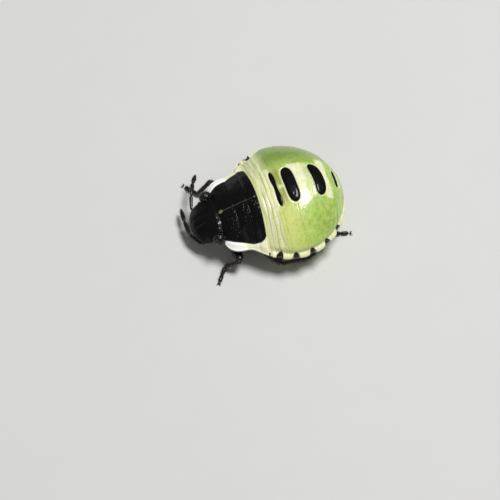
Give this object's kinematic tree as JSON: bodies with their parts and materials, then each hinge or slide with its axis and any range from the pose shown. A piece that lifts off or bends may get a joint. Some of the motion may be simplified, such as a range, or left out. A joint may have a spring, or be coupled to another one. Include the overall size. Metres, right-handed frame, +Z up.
{
  "type": "shield bug nymph",
  "caption": "Life-size still model of a young green shield bug: bent-down head, black thorax plates, round domed abdomen with dark gland plates, folded legs and swept feelers.",
  "frame": {"origin": "on the ground under the middle of the bug's box", "axes": "-Y towards the head, +X towards the bug's own left, +Z up"},
  "size_m": [0.0036, 0.0046, 0.0017],
  "materials": {
    "black_shell": "hard glossy black insect shell with fine pits",
    "green_skin": "smooth stretched green skin with cream bands and fine dark pits",
    "eye": "dark red-brown compound eye",
    "limb_shell": "dark brown to black shell with short pale bristles"
  },
  "bodies": {
    "root": {"head": "black_shell", "eye_left": "eye", "eye_right": "eye", "rostrum": "limb_shell", "pronotum": "black_shell", "mesonotum": "black_shell", "metanotum": "black_shell", "thorax": "green_skin", "abdomen": "green_skin", "gland_plate_1": "black_shell", "gland_plate_2": "black_shell", "gland_plate_3": "black_shell", "gland_plate_4": "black_shell", "antenna_left_1": "limb_shell", "antenna_left_2": "limb_shell", "antenna_left_3": "limb_shell", "antenna_left_4": "limb_shell", "antenna_right_1": "limb_shell", "antenna_right_2": "limb_shell", "antenna_right_3": "limb_shell", "antenna_right_4": "limb_shell", "leg_fore_left_femur": "limb_shell", "leg_fore_left_tibia": "limb_shell", "leg_fore_left_foot": "limb_shell", "leg_fore_right_femur": "limb_shell", "leg_fore_right_tibia": "limb_shell", "leg_fore_right_foot": "limb_shell", "leg_mid_left_femur": "limb_shell", "leg_mid_left_tibia": "limb_shell", "leg_mid_left_foot": "limb_shell", "leg_mid_right_femur": "limb_shell", "leg_mid_right_tibia": "limb_shell", "leg_mid_right_foot": "limb_shell", "leg_hind_left_femur": "limb_shell", "leg_hind_left_tibia": "limb_shell", "leg_hind_left_foot": "limb_shell", "leg_hind_right_femur": "limb_shell", "leg_hind_right_tibia": "limb_shell", "leg_hind_right_foot": "limb_shell"}
  },
  "joints": []
}
